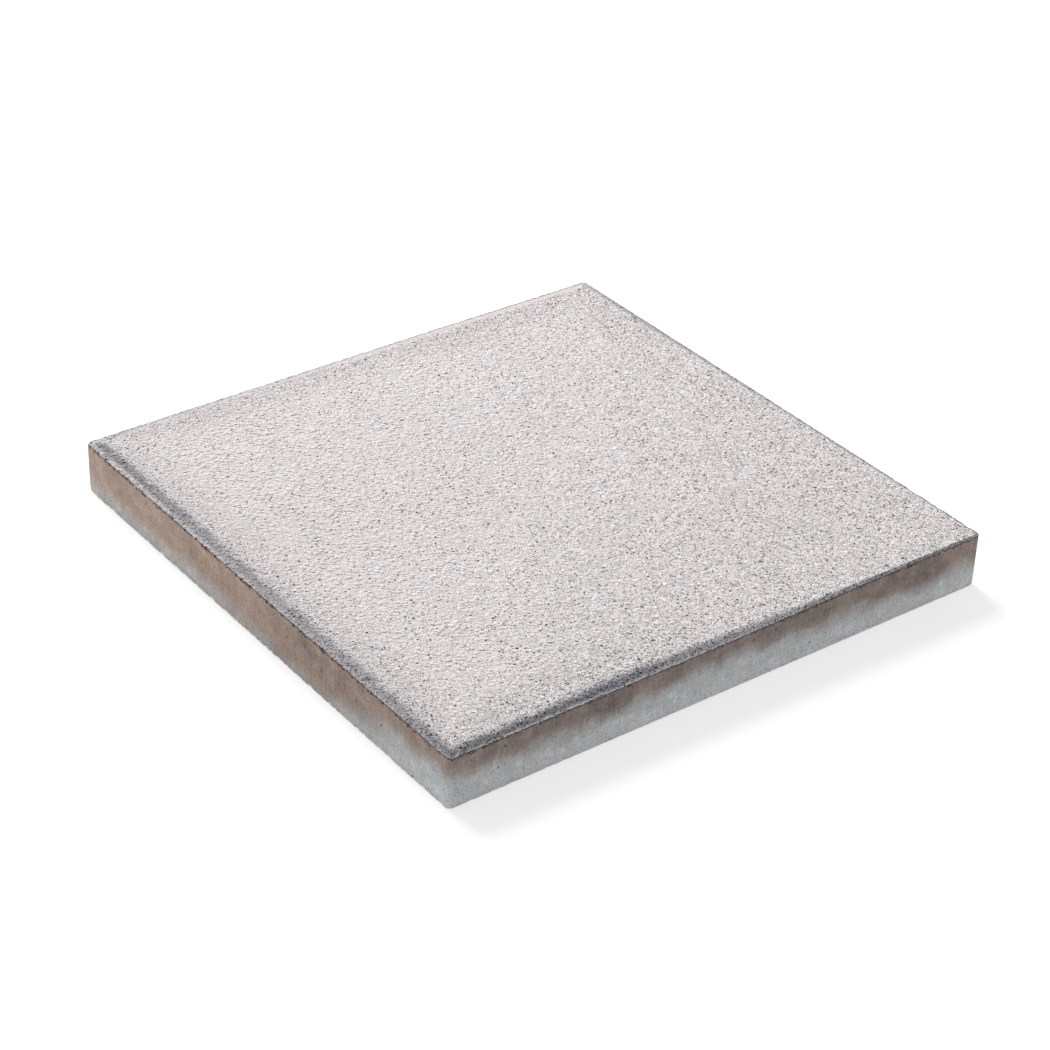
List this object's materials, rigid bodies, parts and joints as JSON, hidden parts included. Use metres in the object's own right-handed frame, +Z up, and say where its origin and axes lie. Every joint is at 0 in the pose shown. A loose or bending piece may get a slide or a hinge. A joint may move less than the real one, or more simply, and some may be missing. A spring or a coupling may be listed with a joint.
{
  "type": "concrete paving slab",
  "caption": "Square cast concrete paving slab with a shallow bevel and a narrow land round the walked-on face, for laying flat as outdoor paving.",
  "frame": {"origin": "middle of the flat underside", "axes": "+Z up out of the walked-on face, +X and +Y square to the sides; -Y is the left-front side in the picture and +X the right-front side"},
  "size_m": [0.4, 0.4, 0.038],
  "materials": {
    "concrete": "fine sandy cast concrete, pale warm grey on top, browner down the sides"
  },
  "bodies": {
    "root": {"paving_slab": "concrete"}
  },
  "joints": []
}
